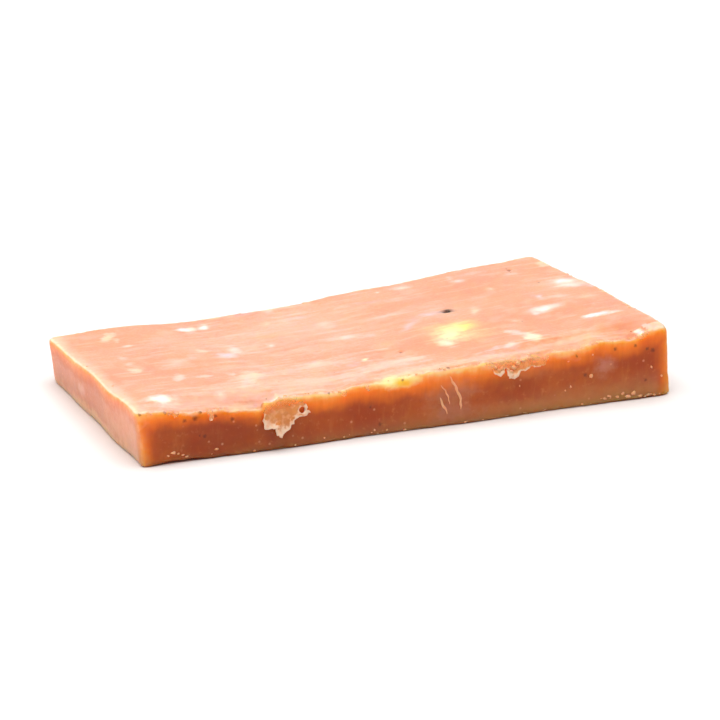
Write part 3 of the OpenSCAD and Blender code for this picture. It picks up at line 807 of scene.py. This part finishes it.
def with_pores(tree, colour, where, grains):
    """Dark pores over a colour, their rims shaken."""
    shaken = add(tree, "ShaderNodeVectorMath", [
        (0, grains["shake"].outputs["Color"]), (1, (0.5, 0.5, 0.5)), (2, where)],
        operation="MULTIPLY_ADD").outputs[0]
    for x, y, z, radius in PORES:
        spot = slab.find_nearest(Vector((x, y, z)))[0] + Vector((0.25, 0.25, 0.25))
        reach = add(tree, "ShaderNodeVectorMath", [(0, shaken), (1, spot)], operation="DISTANCE")
        share = add(tree, "ShaderNodeMapRange", [
            ("Value", reach.outputs["Value"]), ("From Min", 1.5 * radius), ("From Max", 0.1 * radius),
            ("To Max", PORE_MOST)], interpolation_type="SMOOTHSTEP").outputs[0]
        colour = add(tree, "ShaderNodeMix", [
            (0, share), ("A", colour), ("B", linear(PORE_COLOUR))], data_type="RGBA").outputs[2]
    return colour


def with_specks(tree, colour, where, walls):
    """Pin specks over a colour, in cells of 2 mm: pale in half of them, dark in a tenth."""
    specks = add(tree, "ShaderNodeTexVoronoi", [("Vector", where), ("Scale", 0.5), ("Randomness", 1.0)])
    kind = add(tree, "ShaderNodeSeparateXYZ", [(0, specks.outputs["Color"])]).outputs["X"]
    for low, high, radius, face, most, tint in (
            (0.5, 0.6, 0.14, walls, 0.6, "#F4B284"), (0.12, 0.08, 0.11, 1.0, 0.6, "#6A3420")):
        chosen = add(tree, "ShaderNodeMapRange", [
            ("Value", kind), ("From Min", low), ("From Max", high)]).outputs[0]
        share = add(tree, "ShaderNodeMapRange", [
            ("Value", specks.outputs["Distance"]), ("From Min", radius), ("From Max", 0.04),
            ("To Max", most)]).outputs[0]
        masked = add(tree, "ShaderNodeMath", [(0, share), (1, face)], operation="MULTIPLY").outputs[0]
        picked = add(tree, "ShaderNodeMath", [(0, masked), (1, chosen)], operation="MULTIPLY").outputs[0]
        colour = add(tree, "ShaderNodeMix", [
            (0, picked), ("A", colour), ("B", linear(tint))], data_type="RGBA").outputs[2]
    return colour


def soap_material():
    """Cast glycerine soap, cut by hand: translucent, so its thin edges glow amber, a glow that is also
    painted into the walls' colour near their edges, and its shade side stays warm, with a pale waxy film on
    the faces that the knife dragged smooth, painted paler on the top and left as painted sheen and light, and
    soft-edged chips showing through it."""
    material = bpy.data.materials.new("cast_glycerine_soap")
    material.use_nodes = True
    tree = material.node_tree
    tree.nodes.clear()
    out = add(tree, "ShaderNodeOutputMaterial")
    place = add(tree, "ShaderNodeTexCoord")
    # Object coordinates in millimetres
    where = add(tree, "ShaderNodeMapping", [
        ("Vector", place.outputs["Object"]), ("Scale", (1 / MM, 1 / MM, 1 / MM))]).outputs[0]
    facing = soap_faces(tree, place)
    grains = soap_grains(tree, where)
    colour = body_film_and_painted_light(tree, where, grains, facing)
    colour = with_chips_and_painted_light(tree, colour, grains)
    colour = with_pores(tree, colour, where, grains)
    colour = with_specks(tree, colour, where, facing["walls"])

    # Relief too fine for the mesh: drag lines on the top and a faint grain everywhere
    fine = grains["fine"].outputs["Fac"]
    lines_on_top = add(tree, "ShaderNodeMath", [
        (0, grains["lines"].outputs["Fac"]), (1, facing["top"])], operation="MULTIPLY").outputs[0]
    relief = add(tree, "ShaderNodeMath", [
        (0, fine), (1, 0.5), (2, lines_on_top)], operation="MULTIPLY_ADD").outputs[0]
    bump = add(tree, "ShaderNodeBump", [
        ("Height", relief), ("Strength", 0.3), ("Distance", 0.12 * MM)]).outputs[0]
    rough = add(tree, "ShaderNodeMapRange", [
        ("Value", fine), ("From Min", 0.3), ("From Max", 0.7), ("To Min", 0.3), ("To Max", 0.48)]).outputs[0]
    sheen = add(tree, "ShaderNodeMapRange", [
        ("Value", facing["top"]), ("To Min", 0.3), ("To Max", 0.5)]).outputs[0]
    shader = add(tree, "ShaderNodeBsdfPrincipled", [
        ("Base Color", colour), ("Roughness", rough), ("IOR", SOAP_IOR), ("Specular IOR Level", sheen),
        ("Subsurface Weight", 1.0), ("Subsurface Radius", SLAB_SHARES), ("Subsurface Scale", SLAB_REACH),
        ("Subsurface Anisotropy", 0.0), ("Normal", bump)])
    tree.links.new(shader.outputs[0], out.inputs[0])
    return material


# The tooth at the flap's left: it lies left of this x, and below this depth under the front's upper edge
TOOTH_X, TOOTH_DEPTH = -24.1, 2.3


def torn_material():
    """A thin torn sheet of the same soap: the slab's amber glow shows through it, least at its dried rim,
    which is painted pale partly as a highlight.
    """
    material = bpy.data.materials.new("thin_glycerine_soap")
    material.use_nodes = True
    tree = material.node_tree
    shader = tree.nodes["Principled BSDF"]
    rim = add(tree, "ShaderNodeAttribute", attribute_name="rim").outputs["Fac"]
    below = add(tree, "ShaderNodeAttribute", attribute_name="below").outputs["Fac"]
    place = add(tree, "ShaderNodeTexCoord").outputs["Object"]
    waver = add(tree, "ShaderNodeTexNoise", [("Vector", place), ("Scale", 1.1 / MM), ("Detail", 3.0)])
    fine = add(tree, "ShaderNodeTexNoise", [
        ("Vector", place), ("Scale", 1.1 / MM), ("Detail", 2.0)]).outputs["Fac"]
    # How far a point is from the rim, its line wavering, and never near it at the root
    wavy_rim = add(tree, "ShaderNodeMath", [
        (0, waver.outputs["Fac"]), (1, -2.0), (2, rim)], operation="MULTIPLY_ADD").outputs[0]
    root = add(tree, "ShaderNodeMapRange", [
        ("Value", below), ("From Min", 0.4), ("From Max", 2.2), ("To Min", 1.2), ("To Max", 0.0)]).outputs[0]
    near_rim = add(tree, "ShaderNodeMath", [(0, wavy_rim), (1, root)]).outputs[0]
    # How far a point is inside the tooth, in millimetres
    along = add(tree, "ShaderNodeSeparateXYZ", [(0, place)]).outputs["X"]
    leftwards = add(tree, "ShaderNodeMath", [
        (0, along), (1, -1 / MM), (2, TOOTH_X)], operation="MULTIPLY_ADD").outputs[0]
    downwards = add(tree, "ShaderNodeMath", [
        (0, below), (1, TOOTH_DEPTH)], operation="SUBTRACT").outputs[0]
    tooth = add(tree, "ShaderNodeMath", [(0, leftwards), (1, downwards)], operation="MINIMUM").outputs[0]
    # Layers: what drives each, where it starts and is full, its most, and its colour
    colour = linear("#FFB268")
    for driver, low, high, most, tint in (
            (below, 1.3, 3.2, 0.9, "#F8974C"), (below, 4.0, 5.4, 0.8, "#FFC49C"),
            (fine, 0.45, 0.7, 0.4, "#FFCCA4"), (tooth, 0.0, 0.6, 0.7, "#FFC8A8"),
            # In the last layer the rim is painted pale, partly as dried soap and partly as a painted
            # highlight of the curled rim
            (below, 0.4, -0.4, 1.0, "#FFCCB0"), (near_rim, -0.15, -0.75, 0.9, "#FFDCBE")):
        share = add(tree, "ShaderNodeMapRange", [
            ("Value", driver), ("From Min", low), ("From Max", high), ("To Max", most)],
            interpolation_type="SMOOTHSTEP").outputs[0]
        colour = add(tree, "ShaderNodeMix", [
            (0, share), ("A", colour), ("B", linear(tint))], data_type="RGBA").outputs[2]
    tree.links.new(colour, shader.inputs["Base Color"])
    # The glow of the slab shows through the sheet, less so at the rim, in the tooth and down at the tip
    cover = 0.0
    for driver, low, high, most in (
            (below, -0.4, 0.6, 0.32), (below, 0.8, 2.6, 0.42), (tooth, 0.0, 0.6, 0.3),
            (fine, 0.45, 0.65, 0.12), (near_rim, -0.15, -0.6, 0.4)):
        share = add(tree, "ShaderNodeMapRange", [
            ("Value", driver), ("From Min", low), ("From Max", high), ("To Max", most)],
            interpolation_type="SMOOTHSTEP").outputs[0]
        cover = add(tree, "ShaderNodeMath", [(0, share), (1, cover)], use_clamp=True).outputs[0]
    tree.links.new(cover, shader.inputs["Alpha"])
    shader.inputs["Roughness"].default_value = 0.3
    shader.inputs["IOR"].default_value = SOAP_IOR
    return material


def crumb_material():
    """Crumbs and curls scraped off by the knife: the same soap, dried pale and waxy."""
    material = bpy.data.materials.new("dried_soap_crumbs")
    material.use_nodes = True
    tree = material.node_tree
    shader = tree.nodes["Principled BSDF"]
    place = add(tree, "ShaderNodeTexCoord").outputs["Object"]
    clouds = add(tree, "ShaderNodeTexNoise", [("Vector", place), ("Scale", 0.9 / MM), ("Detail", 2.0)])
    tint = add(tree, "ShaderNodeMix", [
        (0, clouds.outputs["Fac"]), ("A", linear("#FFA060")), ("B", linear("#FFD0A4"))], data_type="RGBA")
    tree.links.new(tint.outputs[2], shader.inputs["Base Color"])
    shader.inputs["Roughness"].default_value = 0.35
    shader.inputs["IOR"].default_value = SOAP_IOR
    shader.inputs["Subsurface Weight"].default_value = 1.0
    shader.inputs["Subsurface Radius"].default_value = DRIED_SHARES
    shader.inputs["Subsurface Scale"].default_value = DRIED_REACH
    return material


solid_soap, thin_soap, dried_soap = soap_material(), torn_material(), crumb_material()
for piece, finish in (
        (soap, solid_soap), (flap, thin_soap), (lips, thin_soap), (loose_crumbs, dried_soap),
        (curls, dried_soap)):
    piece.data.materials.clear()
    piece.data.materials.append(finish)
    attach(piece, "root")
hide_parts("soap_bar")
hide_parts("soap_bar")


# The stage

# Half the floor's width, in metres
FLOOR_HALF = 3.0
# Strength of the even light from all round
SKY = 0.12
# Soft lights, all turned to the origin: name, place, width and height, in millimetres, and power in watts
LIGHTS_AIM = (0, 0, 0)
SOFTBOXES = [
    ("overhead", (0, -100, 900), 1000, 900, 11),
    ("backdrop", (200, 1100, 420), 1600, 800, 5.6),
    ("left", (-900, 150, 350), 600, 500, 3),
]


def floor():
    """A plain pale floor that runs out of view on all sides."""
    bm = bmesh.new()
    bmesh.ops.create_grid(bm, x_segments=1, y_segments=1, size=FLOOR_HALF)
    mesh = bpy.data.meshes.new("floor")
    bm.to_mesh(mesh)
    bm.free()
    piece = put("floor", mesh)
    material = bpy.data.materials.new("matt_white_paper")
    material.use_nodes = True
    shader = material.node_tree.nodes["Principled BSDF"]
    shader.inputs["Base Color"].default_value = linear("#F4F3F1")
    shader.inputs["Roughness"].default_value = 0.9
    mesh.materials.append(material)


def softbox(name, place, width, height, power):
    """A soft rectangular light at a place, turned to the bar."""
    lamp = bpy.data.lights.new(name, "AREA")
    lamp.shape = "RECTANGLE"
    lamp.size = width * MM
    lamp.size_y = height * MM
    lamp.energy = power
    piece = put(name, lamp)
    piece.location = Vector(place) * MM
    piece.rotation_euler = (Vector(LIGHTS_AIM) - Vector(place)).to_track_quat("-Z", "Y").to_euler()


def studio():
    """An even white world."""
    sky = bpy.data.worlds.new("studio")
    sky.use_nodes = True
    sky.node_tree.nodes["Background"].inputs["Color"].default_value = (1, 1, 1, 1)
    sky.node_tree.nodes["Background"].inputs["Strength"].default_value = SKY
    bpy.context.scene.world = sky


floor()
studio()
for light in SOFTBOXES:
    softbox(*light)


# The camera, at the photograph's viewing angle

# Its place and the point that it looks at, in the part's frame, and its focal length
EYE = (-347.4, -882.5, 352.7)
LOOK_AT = (0.3, 0.6, 4.6)
LENS = 306

camera = bpy.data.cameras.new("camera")
camera.lens = LENS
camera.sensor_width = 36
camera.clip_start = 0.05
camera.clip_end = 20
viewer = put("camera", camera)
viewer.location = Vector(EYE) * MM
viewer.rotation_euler = (Vector(LOOK_AT) - Vector(EYE)).to_track_quat("-Z", "Y").to_euler()
bpy.context.scene.camera = viewer
bpy.context.scene.view_settings.view_transform = "Standard"
